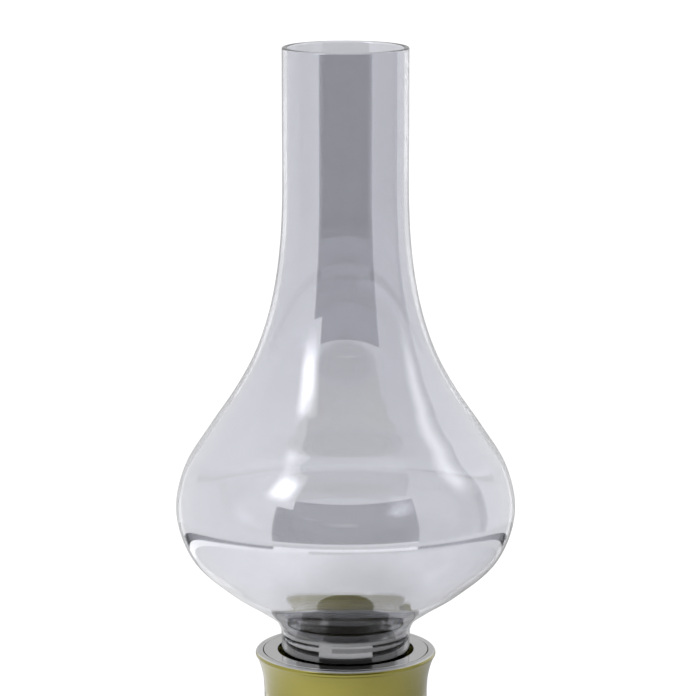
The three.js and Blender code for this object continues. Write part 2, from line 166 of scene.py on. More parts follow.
def rounded_rectangle(width, depth, radius, steps=6):
    outline = []
    for cx, cy, start in ((1, 1, 0), (-1, 1, 90), (-1, -1, 180), (1, -1, 270)):
        for step in range(steps + 1):
            angle = math.radians(start + 90 * step / steps)
            x = cx * (width / 2 - radius) + radius * math.cos(angle)
            y = cy * (depth / 2 - radius) + radius * math.sin(angle)
            outline.append((x, y))
    return outline


def disc(radius, count=SMALL_ROUND):
    return [
        (radius * math.cos(2 * math.pi * i / count), radius * math.sin(2 * math.pi * i / count))
        for i in range(count)
    ]


def arc(z, r, radius, start, end, steps):
    """Points round (z, r), from a start angle to an end angle; 0 points outwards, 90 points up."""
    angles = [math.radians(start + (end - start) * i / steps) for i in range(steps + 1)]
    return [(z + radius * math.sin(a), r + radius * math.cos(a)) for a in angles]


def tube(inner, outer, bottom, top):
    return [(bottom, inner), (bottom, outer), (top, outer), (top, inner)]


def along_x(y, z):
    """Turns a shape built about Z so that it lies along X, through the given y and z."""
    return Matrix.Translation((0, y, z)) @ Matrix.Rotation(math.radians(90), 4, "Y")


def about_z(degrees):
    return Matrix.Rotation(math.radians(degrees), 4, "Z")


def moved(x, y, z):
    return Matrix.Translation((x, y, z))


def placed(shape, *places):
    """The shape put through each matrix in turn."""
    vertices, faces = shape
    for place in places:
        vertices = [tuple(place @ Vector(v)) for v in vertices]
    return vertices, faces


def merged(*shapes):
    """Several shapes as one list of vertices and faces."""
    vertices, faces = [], []
    for points, polygons in shapes:
        start = len(vertices)
        vertices += points
        faces += [[start + i for i in polygon] for polygon in polygons]
    return vertices, faces


def mesh_object(name, shape):
    vertices, faces = shape
    mesh = bpy.data.meshes.new(name)
    mesh.from_pydata([tuple(c * MM for c in v) for v in vertices], [], faces)
    obj = bpy.data.objects.new(name, mesh)
    bpy.context.scene.collection.objects.link(obj)
    return obj


def bake_modifiers(obj):
    bpy.context.view_layer.update()
    graph = bpy.context.evaluated_depsgraph_get()
    result = bpy.data.meshes.new_from_object(obj.evaluated_get(graph))
    obj.modifiers.clear()
    old, obj.data = obj.data, result
    bpy.data.meshes.remove(old)


def combine(obj, other, operation):
    """Joins, cuts or keeps the common part of obj and another shape, and applies it."""
    tool = mesh_object("tool", other)
    modifier = obj.modifiers.new("tool", "BOOLEAN")
    modifier.operation, modifier.object, modifier.solver = operation, tool, "EXACT"
    bake_modifiers(obj)
    tool_mesh = tool.data
    bpy.data.objects.remove(tool)
    bpy.data.meshes.remove(tool_mesh)


def piece(name, shape, finish, cuts=(), joins=(), bevel=0.0):
    """One visible piece: it stands for the CAD node, rides on the node's body and takes a finish."""
    obj = mesh_object(name + "_look", shape)
    for other in joins:
        combine(obj, other, "UNION")
    if cuts:
        combine(obj, merged(*cuts), "DIFFERENCE")
    if bevel:
        edge = obj.modifiers.new("edge", "BEVEL")
        edge.width, edge.segments, edge.limit_method = bevel * MM, 2, "ANGLE"
        edge.angle_limit = math.radians(50)
        bake_modifiers(obj)
    made = bmesh.new()
    made.from_mesh(obj.data)
    bmesh.ops.remove_doubles(made, verts=made.verts, dist=1e-7)
    bmesh.ops.dissolve_degenerate(made, edges=made.edges, dist=1e-7)
    bmesh.ops.recalc_face_normals(made, faces=made.faces)
    made.to_mesh(obj.data)
    made.free()
    obj.data.shade_smooth()
    obj.data.set_sharp_from_angle(angle=math.radians(38))
    weighted = obj.modifiers.new("normals", "WEIGHTED_NORMAL")
    weighted.keep_sharp = True
    slot, material = finish
    obj.data.materials.append(material)
    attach(obj, NODE_BODY[name])
    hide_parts(name)


# ---- Materials ---------------------------------------------------------------------------------


def material_tree(name):
    material = bpy.data.materials.new(name)
    material.use_nodes = True
    tree = material.node_tree
    return material, tree, tree.nodes["Principled BSDF"]


def put(tree, kind, inputs=None, **settings):
    """A node with its settings; each input is a number, a colour, or another node's output."""
    made = tree.nodes.new(kind)
    for key, value in settings.items():
        setattr(made, key, value)
    for key, value in (inputs or {}).items():
        if isinstance(value, bpy.types.NodeSocket):
            tree.links.new(value, made.inputs[key])
        else:
            made.inputs[key].default_value = value
    return made


def object_place(tree):
    return put(tree, "ShaderNodeTexCoord").outputs["Object"]


def noise(tree, vector, scale, detail=3.0, roughness=0.5):
    inputs = {"Vector": vector, "Scale": scale, "Detail": detail, "Roughness": roughness}
    return put(tree, "ShaderNodeTexNoise", inputs).outputs["Fac"]


def ranged(tree, value, low_to, high_to, low_from=0.3, high_from=0.7):
    inputs = {
        "Value": value,
        "From Min": low_from,
        "From Max": high_from,
        "To Min": low_to,
        "To Max": high_to,
    }
    return put(tree, "ShaderNodeMapRange", inputs).outputs["Result"]


def math_node(tree, operation, *values):
    made = put(tree, "ShaderNodeMath", dict(enumerate(values)), operation=operation)
    return made.outputs[0]


def blended(tree, factor, first, second):
    """The first colour where the factor is 0, the second where it is 1."""
    made = tree.nodes.new("ShaderNodeMix")
    made.data_type = "RGBA"
    for socket, value in ((made.inputs[0], factor), (made.inputs[6], first), (made.inputs[7], second)):
        if isinstance(value, bpy.types.NodeSocket):
            tree.links.new(value, socket)
        else:
            socket.default_value = value
    return made.outputs[2]


def bumped(tree, height, strength, distance):
    inputs = {"Height": height, "Strength": strength, "Distance": distance}
    return put(tree, "ShaderNodeBump", inputs).outputs["Normal"]


def lathe_lines(tree, scale):
    """Noise in fine rings round the Z axis: the marks that turning or spinning leaves."""
    parts = put(tree, "ShaderNodeSeparateXYZ", {0: object_place(tree)}).outputs
    flat = put(tree, "ShaderNodeCombineXYZ", {0: parts[0], 1: parts[1], 2: 0.0}).outputs[0]
    radius = put(tree, "ShaderNodeVectorMath", {0: flat}, operation="LENGTH").outputs["Value"]
    way = put(tree, "ShaderNodeVectorMath", {0: flat}, operation="NORMALIZE").outputs[0]
    way_parts = put(tree, "ShaderNodeSeparateXYZ", {0: way}).outputs
    across = math_node(tree, "MULTIPLY", radius, scale)
    along = math_node(tree, "MULTIPLY", parts[2], scale)
    vector = put(tree, "ShaderNodeCombineXYZ", {0: way_parts[0], 1: way_parts[1], 2: across}).outputs[0]
    inputs = {"Vector": vector, "W": along, "Scale": 1.0, "Detail": 2.0, "Roughness": 0.6}
    return put(tree, "ShaderNodeTexNoise", inputs, noise_dimensions="4D").outputs["Fac"]


def metal(name, light, dark, smooth, rough, line_scale=0.0, bump=0.0, coat=0.0):
    """A metal whose colour drifts between two tones and whose gloss varies with wear and tool marks."""
    material, tree, shader = material_tree(name)
    place = object_place(tree)
    drift = noise(tree, place, 28.0, 4.0)
    color = blended(tree, ranged(tree, drift, 0.0, 1.0, 0.35, 0.65), dark, light)
    tree.links.new(color, shader.inputs["Base Color"])
    shader.inputs["Metallic"].default_value = 1.0
    fine = lathe_lines(tree, line_scale) if line_scale else noise(tree, place, 900.0, 4.0, 0.6)
    smudge = noise(tree, place, 60.0, 5.0, 0.6)
    mixed = math_node(tree, "MULTIPLY_ADD", smudge, 0.6, math_node(tree, "MULTIPLY", fine, 0.4))
    tree.links.new(ranged(tree, mixed, smooth, rough), shader.inputs["Roughness"])
    if bump:
        tree.links.new(bumped(tree, fine, bump, 0.00003), shader.inputs["Normal"])
    if coat:
        shader.inputs["Coat Weight"].default_value = coat
        shader.inputs["Coat Roughness"].default_value = 0.12
        shader.inputs["Coat IOR"].default_value = 1.5
    return material


def grey_above(finish, height, color):
    """Stops a coloured finish at a height, with a light grey above it."""
    tree = finish[1].node_tree
    base = tree.nodes["Principled BSDF"].inputs["Base Color"]
    up = put(tree, "ShaderNodeSeparateXYZ", {0: object_place(tree)}).outputs[2]
    mask = ranged(tree, up, 0.0, 1.0, (height - 0.3) * MM, height * MM)
    tree.links.new(blended(tree, mask, base.links[0].from_socket, color), base)


def smoked_glass():
    """Blown glass, grey with a little violet, with the half-mirrored look of a metal-oxide lustre.

    The tint is darkest in the foot, as painted shade over the burner seen through it, lightest in the
    belly and a little darker in the neck, with an uneven edge between them.
    """
    material, tree, shader = material_tree("smoked_glass")
    place = object_place(tree)
    drift = noise(tree, place, 14.0, 2.0)
    drifted = math_node(tree, "MULTIPLY_ADD", ranged(tree, drift, 0.0, 1.0), 0.02, -0.01)
    up = put(tree, "ShaderNodeSeparateXYZ", {0: place}).outputs[2]
    height = math_node(tree, "ADD", up, drifted)
    foot_top, belly_bottom = (RING_TOP + 12) * MM, (RING_TOP + 24) * MM
    belly_top, neck_bottom = (RING_TOP + 75) * MM, (RING_TOP + 135) * MM
    # The foot's darker tint is painted shade: it makes the burner seen through the foot look shaded.
    foot, belly, neck = (0.60, 0.605, 0.625, 1), (0.83, 0.835, 0.87, 1), (0.765, 0.77, 0.81, 1)
    belly_to_neck = blended(tree, ranged(tree, height, 0.0, 1.0, belly_top, neck_bottom), belly, neck)
    off_shaded_foot = ranged(tree, height, 0.0, 1.0, foot_top, belly_bottom)
    tree.links.new(blended(tree, off_shaded_foot, foot, belly_to_neck), shader.inputs["Base Color"])
    shader.inputs["Transmission Weight"].default_value = 1.0
    shader.inputs["Metallic"].default_value = 0.2
    shader.inputs["IOR"].default_value = 1.5
    fine = noise(tree, place, 40.0, 3.0)
    tree.links.new(ranged(tree, fine, 0.012, 0.03), shader.inputs["Roughness"])
    stretched = put(tree, "ShaderNodeMapping", {"Vector": place, "Scale": (1.0, 1.0, 0.45)}).outputs[0]
    waves = noise(tree, stretched, 22.0, 1.0)
    tree.links.new(bumped(tree, waves, 0.25, 0.0008), shader.inputs["Normal"])
    return material


def cotton():
    """Flat woven cotton: lengthwise cords crossed by the weft."""
    material, tree, shader = material_tree("cotton_wick")
    place = object_place(tree)
    weft = put(
        tree,
        "ShaderNodeTexWave",
        {"Vector": place, "Scale": 260.0, "Distortion": 1.2, "Detail": 1.0, "Detail Scale": 2.0},
        bands_direction="Z",
    ).outputs["Fac"]
    fibres = put(tree, "ShaderNodeMapping", {"Vector": place, "Scale": (1.0, 1.0, 0.2)}).outputs[0]
    fuzz = noise(tree, fibres, 2600.0, 4.0, 0.7)
    shade = math_node(tree, "MULTIPLY_ADD", weft, 0.5, math_node(tree, "MULTIPLY", fuzz, 0.5))
    dark, light = (0.60, 0.54, 0.42, 1), (0.86, 0.82, 0.72, 1)
    color = blended(tree, ranged(tree, shade, 0.0, 1.0), dark, light)
    tree.links.new(color, shader.inputs["Base Color"])
    tree.links.new(ranged(tree, fuzz, 0.85, 1.0), shader.inputs["Roughness"])
    tree.links.new(bumped(tree, shade, 0.8, 0.0003), shader.inputs["Normal"])
    shader.inputs["Sheen Weight"].default_value = 0.3
    return material


def felt():
    """Dark green-black felt, patchy where it has been pressed."""
    material, tree, shader = material_tree("base_felt")
    place = object_place(tree)
    fibres = noise(tree, place, 1400.0, 6.0, 0.75)
    patches = noise(tree, place, 90.0, 3.0)
    dark, light = (0.018, 0.02, 0.014, 1), (0.06, 0.062, 0.05, 1)
    color = blended(tree, ranged(tree, fibres, 0.0, 1.0), dark, light)
    tree.links.new(color, shader.inputs["Base Color"])
    tree.links.new(ranged(tree, patches, 0.9, 1.0), shader.inputs["Roughness"])
    tree.links.new(bumped(tree, fibres, 1.0, 0.0004), shader.inputs["Normal"])
    shader.inputs["Sheen Weight"].default_value = 0.5
    return material


def cork():
    """Pressed cork: pale grains with dark specks."""
    material, tree, shader = material_tree("cork")
    place = object_place(tree)
    grains = put(tree, "ShaderNodeTexVoronoi", {"Vector": place, "Scale": 900.0, "Randomness": 1.0})
    specks = ranged(tree, noise(tree, place, 500.0, 4.0), 0.0, 1.0, 0.55, 0.7)
    dark, light, speck = (0.30, 0.17, 0.075, 1), (0.50, 0.31, 0.15, 1), (0.12, 0.06, 0.025, 1)
    color = blended(tree, specks, blended(tree, grains.outputs["Distance"], dark, light), speck)
    tree.links.new(color, shader.inputs["Base Color"])
    tree.links.new(ranged(tree, specks, 0.95, 0.8, 0.0, 1.0), shader.inputs["Roughness"])
    tree.links.new(bumped(tree, grains.outputs["Distance"], 0.7, 0.0003), shader.inputs["Normal"])
    return material


def metal_finish(slot, name, light, dark, gloss, **marks):
    """A slot's name and its metal; gloss is the roughness where smoothest and where roughest."""
    return slot, metal(name, (*light, 1), (*dark, 1), *gloss, **marks)


OLIVE = metal_finish(
    "olive_metal", "olive_metal", (0.28, 0.25, 0.032), (0.26, 0.232, 0.025), (0.27, 0.29),
    line_scale=2600.0, coat=1.0,
)
grey_above(OLIVE, RING_TOP - 0.4, (0.58, 0.58, 0.575, 1))
OLIVE_CAST = metal_finish(
    "olive_metal", "olive_metal_knob", (0.29, 0.27, 0.024), (0.25, 0.23, 0.016), (0.25, 0.34),
    bump=0.05, coat=1.0,
)
NICKEL = metal_finish(
    "polished_nickel", "polished_nickel", (0.66, 0.66, 0.655), (0.61, 0.61, 0.605), (0.04, 0.10),
    line_scale=2200.0, bump=0.02,
)
BRASS = metal_finish(
    "burner_brass", "burner_brass", (0.82, 0.60, 0.26), (0.62, 0.42, 0.17), (0.24, 0.42),
    line_scale=1800.0, bump=0.10,
)
BRASS_SHEET = metal_finish(
    "burner_brass", "burner_brass_sheet", (0.80, 0.58, 0.25), (0.60, 0.41, 0.17), (0.26, 0.44),
    bump=0.12,
)
# Burner brass painted nearly black: painted shade for the burner parts inside the casing and the
# chimney's foot.
BRASS_PAINTED_SHADE = metal_finish(
    "burner_brass", "burner_brass_painted_shade", (0.07, 0.063, 0.04), (0.03, 0.027, 0.018), (0.32, 0.5),
    line_scale=1800.0, bump=0.10,
)
STEEL = metal_finish(
    "steel", "steel", (0.56, 0.57, 0.58), (0.44, 0.45, 0.46), (0.16, 0.32),
    bump=0.08,
)
SPRING_STEEL = metal_finish(
    "steel", "spring_steel", (0.16, 0.16, 0.17), (0.09, 0.09, 0.10), (0.22, 0.38),
    bump=0.06,
)
GLASS = ("smoked_glass", smoked_glass())
COTTON = ("cotton_wick", cotton())
FELT = ("base_felt", felt())
CORK = ("cork", cork())


# ---- Font and what stays on it -------------------------------------------------------------------

FONT_TOP = 85  # height of the flat deck
FONT_WALL = 1.2
# Outside of the font: height, radius.
FONT_OUTLINE = [
    (1.0, 51.2),
    (5, 55.6),
    (16, 61.2),
    (29, 63.0),
    (43, 60.6),
    (56, 53.6),
    (66.5, 45.0),
    (75, 38.2),
    (81, 35.0),
    (FONT_TOP, 34.2),
]
THREAD_PITCH = 2.1
THREAD_DEPTH = 0.8
THREAD_BOTTOM = 78


def thread(crest, inward, bottom, top):
    """A radius_at for turned(): a helical thread cut into the wall whose radius is crest."""

    def radius_at(r, z, angle):
        if abs(r - crest) > 0.01 or not bottom < z < top:
            return r
        phase = (z / THREAD_PITCH - angle / (2 * math.pi)) % 1.0
        groove = max(0.0, 1 - abs(phase - 0.5) / 0.42)
        fade = min(1.0, (z - bottom) / 0.8, (top - z) / 0.8)
        return r - inward * THREAD_DEPTH * groove * fade

    return radius_at


def dense(profile, index, rows):
    """The profile with the edge after the given corner divided into rows."""
    a, b = Vector(profile[index]), Vector(profile[(index + 1) % len(profile)])
    extra = [tuple(a.lerp(b, row / rows)) for row in range(1, rows)]
    return profile[: index + 1] + extra + profile[index + 1 :]


def make_font():
    piece("felt_disc", turned(rounded([(0, 0), (0, 49), (2, 49), (2, 0)], 0.7, 5), ROUND), FELT)
    plate_bottom, plate_top = low("base_plate", 2), high("base_plate", 2)
    plate = [(plate_bottom, 0), (plate_bottom, 50.6), (plate_top, 50.6), (plate_top, 0)]
    piece("base_plate", turned(rounded(plate, 0.4), ROUND), BRASS)

    outside = spline(FONT_OUTLINE, 12)
    inside = inside_of(outside, FONT_WALL)
    inside[0] = (outside[0][0], outside[0][1] - FONT_WALL)
    inside[-1] = (FONT_TOP - FONT_WALL, outside[-1][1] - FONT_WALL)
    collar_hole = 22.8
    deck = [(FONT_TOP, collar_hole), (FONT_TOP - FONT_WALL, collar_hole)]
    piece("font_shell", turned(rounded(outside + deck + inside[::-1], 0.8, 5), ROUND), OLIVE)

    flange = FONT_TOP + GAP
    flange_top = flange + 1.2
    bore, sleeve, flange_edge = 19.4, 22.4, 25.5
    collar = [
        (THREAD_BOTTOM, bore),
        (THREAD_BOTTOM, sleeve),
        (flange, sleeve),
        (flange, flange_edge),
        (flange_top, flange_edge),
        (flange_top, bore),
    ]
    collar = rounded(collar, 0.25)
    inner_thread = thread(bore, -0.5, THREAD_BOTTOM + 0.2, flange_top - 0.1)
    collar_rows = dense(collar, len(collar) - 1, 70)
    piece("font_collar", turned(collar_rows, ROUND, inner_thread), BRASS)
    gasket = rounded(tube(26, 31, flange, FONT_TOP + 1.8), 0.25)
    piece("collar_gasket", turned(gasket, ROUND), CORK)


# ---- Burner head -----------------------------------------------------------------------------------

CASING_WALL = 1.0
CASING_RADIUS = 33.4
CASING_BOTTOM = low("burner_casing", 2)
CASING_MOUTH = 22  # radius of the hole in the casing's floor
# Outside of the casing where it flares towards its bead: height, radius.
FLARE_OUTLINE = [(115, CASING_RADIUS), (120, 33.75), (123.5, 34.4), (126.4, 35.2), (128.6, 36.05)]
BEAD_RADIUS = 1.5
BEAD_MIDDLE = high("burner_casing", 0) - BEAD_RADIUS
FLANGE_BOTTOM = CASING_BOTTOM + CASING_WALL + GAP
FLANGE_TOP = FLANGE_BOTTOM + 1.2
SCREW_CIRCLE = 27
SEAT_TOP = high("chimney_seat", 2)
SEAT_BOTTOM = low("chimney_seat", 2)
RIVET_CIRCLE = 29.9
SHAFT_Y = 6.6
SHAFT_Z = 98
SHAFT_RADIUS = 1.4
ON_SHAFT = along_x(SHAFT_Y, SHAFT_Z)
STAR_X = 6.5  # the star wheels stand this far to each side
TUBE_WIDTH, TUBE_DEPTH, TUBE_WALL = 27.4, 5.2, 0.6
VENT_Y = -11
ON_SIDE = Matrix.Rotation(math.radians(90), 4, "Y")  # turns a shape built about Z to lie along X


def rod_along_x(radius, x0, x1, y, z):
    return placed(extruded(disc(radius, 48), x0, x1), along_x(y, z))


def rod_along_z(radius, z0, z1, x, y):
    return placed(extruded(disc(radius, 48), z0, z1), moved(x, y, 0))


def screw_holes():
    hole = rod_along_z(1.4, CASING_BOTTOM - 1, FLANGE_TOP + 1, SCREW_CIRCLE, 0)
    return [placed(hole, about_z(120 * i)) for i in range(3)]


def make_casing():
    flare = spline(FLARE_OUTLINE, 8)
    bead_height = RING_TOP - BEAD_RADIUS
    bead = arc(bead_height, BEAD_MIDDLE, BEAD_RADIUS, -50, 90, 15)
    foot = 1.2
    corner = arc(CASING_BOTTOM + foot, CASING_RADIUS - foot, foot, -90, 0, 6)
    floor_top = CASING_BOTTOM + CASING_WALL
    inside = inside_of(flare, CASING_WALL)[::-1]
    ends = [(floor_top, CASING_RADIUS - CASING_WALL), (floor_top, CASING_MOUTH)]
    bead_inside = high("collar_ring", 0) + GAP
    soft = 0.2
    land = [(RING_TOP, bead_inside + soft), (RING_TOP - soft, bead_inside), (bead_height, bead_inside)]
    profile = [(CASING_BOTTOM, CASING_MOUTH)] + corner + flare + bead + land + inside + ends
    inlet = rod_along_x(2.2, 28, 38, 0, 93.2)
    places = 16  # the shaft's bushing takes the first inlet's place
    inlets = [placed(inlet, about_z(360 / places * (i + 0.5))) for i in range(1, places)]
    shaft_hole = rod_along_x(3.5, 25, 40, SHAFT_Y, SHAFT_Z)
    piece("burner_casing", turned(profile, ROUND), OLIVE, cuts=[*inlets, shaft_hole, *screw_holes()])


def make_ring():
    bottom = RING_TOP - 1.0
    skirt_bottom = bottom - 3.4
    hole, skirt_inner, outer = 27.9, 32.9, 33.6
    profile = [
        (bottom, hole),
        (bottom, skirt_inner),
        (skirt_bottom, skirt_inner),
        (skirt_bottom, outer),
        (RING_TOP, outer),
        (RING_TOP, hole),
    ]
    piece("collar_ring", turned(rounded(profile, 0.2, 5), ROUND), NICKEL)


def make_burner_body():
    crest, bore, flange_edge = 19.1, 17.6, 30
    profile = [
        (FLANGE_BOTTOM, 0),
        (FLANGE_BOTTOM, bore),
        (THREAD_BOTTOM, bore),
        (THREAD_BOTTOM, crest),
        (FLANGE_BOTTOM, crest),
        (FLANGE_BOTTOM, flange_edge),
        (FLANGE_TOP, flange_edge),
        (FLANGE_TOP, 0),
    ]
    outer_thread = thread(crest, 1, THREAD_BOTTOM, FLANGE_BOTTOM - 0.4)
    shape = turned(dense(profile, 3, 90), ROUND, outer_thread)
    slot = extruded(rounded_rectangle(TUBE_WIDTH + 0.6, TUBE_DEPTH + 0.6, 1.8), 80, 95)
    vent = rod_along_z(1.8, 80, 95, 0, VENT_Y)
    piece("burner_body", shape, BRASS, cuts=[slot, vent, *screw_holes()])


def make_casing_screws():
    under = FLANGE_TOP + GAP
    tip = CASING_BOTTOM + 0.1
    stem, head = 1.1, 2.2
    profile = [(tip, 0), (tip, stem), (under, stem), (under, head)]
    for angle in (math.radians(15 * i) for i in range(6)):
        profile.append((under + 0.5 + 0.8 * math.sin(angle), head * math.cos(angle)))
    profile.append((under + 1.3, 0))
    slot = extruded(rounded_rectangle(5, 0.6, 0.05, 2), under + 0.7, under + 3)
    for i in range(3):
        put_there = (moved(SCREW_CIRCLE, 0, 0), about_z(120 * i))
        turn = about_z(20 + 50 * i)
        shape = placed(turned(profile, 48), *put_there)
        piece(f"casing_screw_{i + 1}", shape, STEEL, cuts=[placed(slot, turn, *put_there)])


def make_basket():
    bottom, top = low("burner_basket", 2), high("burner_basket", 2)
    window = placed(extruded(rounded_rectangle(7, 6.2, 1.6), 20, 27), ON_SIDE)
    windows = []
    for z in (105.5, 116):
        windows += [placed(window, moved(0, 0, z), about_z(30 * i)) for i in range(12)]
    shaft_hole = rod_along_x(2.4, 15, 30, SHAFT_Y, SHAFT_Z)
    shape = turned(rounded(tube(23.0, 23.8, bottom, top), 0.2), ROUND)
    piece("burner_basket", shape, BRASS_PAINTED_SHADE, cuts=[*windows, shaft_hole])


def make_seat():
    hole = rod_along_z(1.0, SEAT_TOP - 3, SEAT_TOP + 2, RIVET_CIRCLE, 0)
    holes = [placed(hole, about_z(45 + 90 * i)) for i in range(4)]
    shape = turned(rounded(tube(20.4, 31.6, SEAT_BOTTOM, SEAT_TOP), 0.3), ROUND)
    piece("chimney_seat", shape, BRASS_PAINTED_SHADE, cuts=holes)


def make_springs():
    foot = SEAT_TOP + GAP
    thickness = 0.5
    blade = spline([(foot, 27.9), (foot + 2, 27.2), (foot + 4.4, 26.55), (foot + 6.2, 27.4)], 10)
    back = inside_of(blade, -thickness)[::-1]
    back[-1] = (foot + thickness, 27.9 + thickness * 0.9)
    side = [(r, z) for z, r in blade + back] + [(31.3, foot + thickness), (31.3, foot)]
    upright = Matrix.Rotation(math.radians(90), 4, "X")
    hole = rod_along_z(1.0, SEAT_TOP - 1, SEAT_TOP + 2, RIVET_CIRCLE, 0)
    under, over = SEAT_BOTTOM - 0.2, SEAT_TOP + GAP + thickness + 0.2
    rivet = [(under - 0.6, 0), (under - 0.6, 0.8), (under - 0.25, 1.35), (under, 1.4), (under, 0.75)]
    rivet += [(over, 0.75), (over, 1.4), (over + 0.25, 1.35), (over + 0.48, 1.0)]
    rivet += [(over + 0.6, 0.5), (over + 0.6, 0)]
    for i in range(4):
        turn = about_z(45 + 90 * i)
        strip = placed(extruded(side, -2.5, 2.5), upright, turn)
        piece(f"chimney_spring_{i + 1}", strip, SPRING_STEEL, cuts=[placed(hole, turn)])
        shape = placed(turned(rivet, 32), moved(RIVET_CIRCLE, 0, 0), turn)
        piece(f"spring_rivet_{i + 1}", shape, BRASS_PAINTED_SHADE)


def make_wick_tube():
    bottom, top = low("wick_tube", 2), high("wick_tube", 2)
    body = extruded(rounded_rectangle(TUBE_WIDTH, TUBE_DEPTH, 1.6), bottom, top)
    bore_size = (TUBE_WIDTH - 2 * TUBE_WALL, TUBE_DEPTH - 2 * TUBE_WALL, 1.0)
    cuts = [extruded(rounded_rectangle(*bore_size), bottom - 5, top + 5)]
    for side in (-1, 1):
        window = extruded(rounded_rectangle(8.6, 2.6, 0.5), 1.0, 4.2)
        stand = Matrix.Rotation(math.radians(-90), 4, "X") @ about_z(90)
        cuts.append(placed(window, stand, moved(side * STAR_X, 0, SHAFT_Z)))
    piece("wick_tube", body, BRASS_PAINTED_SHADE, cuts=cuts, bevel=0.12)


def make_bracket():
    front = TUBE_DEPTH / 2 + GAP
    back = high("winder_bracket", 1)
    depth, middle = back - front, (front + back) / 2
    ear = rounded_rectangle(14, depth, 1.6)
    ears = []
    for x in (-11, 11):
        ears.append(placed(extruded(ear, x - 0.5, x + 0.5), ON_SIDE, moved(0, middle, SHAFT_Z)))
    web = placed(extruded(rounded_rectangle(23, depth, 0.4), 90, 91), moved(0, middle, 0))
    bore = rod_along_x(SHAFT_RADIUS + 0.35, -20, 20, SHAFT_Y, SHAFT_Z)
    web_cut = placed(extruded(rounded_rectangle(12, 3, 1.4), 88, 93), moved(0, middle + 0.4, 0))
    piece("winder_bracket", web, BRASS_SHEET, joins=ears, cuts=[bore, web_cut], bevel=0.1)


def make_bushing():
    """A sleeve through the casing's wall, with a flange cut to fit the round wall."""
    wall_radius = CASING_RADIUS + GAP
    wall = turned([(80, 0), (80, wall_radius), (115, wall_radius), (115, 0)], ROUND)
    flange = rounded([(30, 2.4), (30, 5.2), (35.4, 5.2), (35.4, 2.4)], 0.35, 4)
    tool = mesh_object("flange_tool", placed(turned(flange), ON_SHAFT))
    combine(tool, wall, "DIFFERENCE")
    fitted = (
        [tuple(v.co / MM) for v in tool.data.vertices],
        [list(p.vertices) for p in tool.data.polygons],
    )
    bpy.data.objects.remove(tool)
    sleeve = rounded([(30.4, 1.75), (30.4, 3.2), (36, 3.2), (36, 1.75)], 0.3)
    piece("shaft_bushing", placed(turned(sleeve), ON_SHAFT), BRASS_SHEET, joins=[fitted])


def make_burner():
    make_casing()
    make_ring()
    make_burner_body()
    make_casing_screws()
    make_basket()
    make_seat()
    make_springs()
    make_wick_tube()
    make_bracket()
    vent = rounded(tube(1.0, 1.5, low("vent_tube", 2), high("vent_tube", 2)), 0.15)
    piece("vent_tube", placed(turned(vent, 48), moved(0, VENT_Y, 0)), BRASS_PAINTED_SHADE)
    make_bushing()


# ---- Winder ----------------------------------------------------------------------------------------


def make_winder():
    shaft_end = high("winder_shaft", 0)
    thin = SHAFT_RADIUS - 0.45
    shaft = [(-15, 0), (-15, SHAFT_RADIUS), (-13.8, SHAFT_RADIUS), (-13.8, thin), (-12.8, thin)]
    shaft += [(-12.8, SHAFT_RADIUS), (shaft_end, SHAFT_RADIUS), (shaft_end, 0)]
    piece("winder_shaft", placed(turned(rounded(shaft, 0.2), 48), ON_SHAFT), STEEL)

    mouth = 0.7  # half of the clip's opening, in radians
    clip = []
    for radius, turn in ((2.9, 1), (SHAFT_RADIUS - 0.2, -1)):
        for i in range(41):
            angle = math.pi + turn * (mouth - math.pi + (2 * math.pi - 2 * mouth) * i / 40)
            clip.append((radius * math.cos(angle), radius * math.sin(angle)))
    piece("shaft_clip", placed(extruded(clip, -13.6, -13.0), ON_SHAFT), STEEL, bevel=0.06)

    tip, root, teeth = 5.0, 3.7, 10
    outline = []
    for i in range(teeth):
        for share, radius in ((-0.5, root), (-0.16, tip - 0.25), (0, tip), (0.16, tip - 0.25)):
            angle = 2 * math.pi * (i + share) / teeth
            outline.append((radius * math.cos(angle), radius * math.sin(angle)))
    bore = rod_along_x(SHAFT_RADIUS + 0.2, -20, 20, SHAFT_Y, SHAFT_Z)
    for side, name in ((-1, "star_wheel_left"), (1, "star_wheel_right")):
        middle = side * STAR_X
        wheel = placed(extruded(outline, middle - 0.6, middle + 0.6), ON_SHAFT)
        piece(name, wheel, STEEL, cuts=[bore], bevel=0.08)

    start, end = low("wick_knob", 0), high("wick_knob", 0)
    rim, flutes, depth = 9.6, 20, 0.7
    grip = start + 1.4
    profile = [
        (start, 1.6),
        (start, 4.2),
        (grip, 4.2),
        (grip, rim),
        (end, rim),
        (end - 0.7, rim - 2.4),
        (end - 0.7, 3.4),
        (shaft_end, 3.4),
        (shaft_end, 1.6),
    ]
    profile = rounded(profile, 0.55, 5)

    def fluted(r, z, angle):
        share = max(0.0, min(1.0, (r - 7.6) / 1.6))
        return r - share * depth * (0.5 - 0.5 * math.cos(flutes * angle))

    piece("wick_knob", placed(turned(profile, 240, fluted), ON_SHAFT), OLIVE_CAST)

    screw_start, screw_end = low("knob_screw", 0), high("knob_screw", 0)
    head = rounded([(screw_start, 0), (screw_start, 3.0), (screw_end, 3.0), (screw_end, 0)], 0.5, 4)
    slot = extruded(rounded_rectangle(0.9, 8, 0.05, 2), screw_end - 0.7, screw_end + 1)
    slot = placed(slot, about_z(25), ON_SHAFT)
    piece("knob_screw", placed(turned(head), ON_SHAFT), STEEL, cuts=[slot])


# ---- Wick, flame dome and chimney --------------------------------------------------------------------


def make_wick():
    bottom, top = low("wick", 2), high("wick", 2)
    cords, width, depth = 14, 24.0, 2.6
    outline = []
    steps = cords * 8
    for side in (1, -1):
        for i in range(steps + 1):
            share = i / steps
            x = side * (width / 2 - width * share)
            swell = math.sqrt(max(0.0, 1 - (2 * share - 1) ** 8))
            rib = 0.85 + 0.15 * abs(math.sin(math.pi * cords * share))
            y = side * depth / 2 * swell * rib
            if i in (0, steps) and side == -1:
                continue
            outline.append((x, y))
    piece("wick", extruded(outline, bottom, top, 60), COTTON)


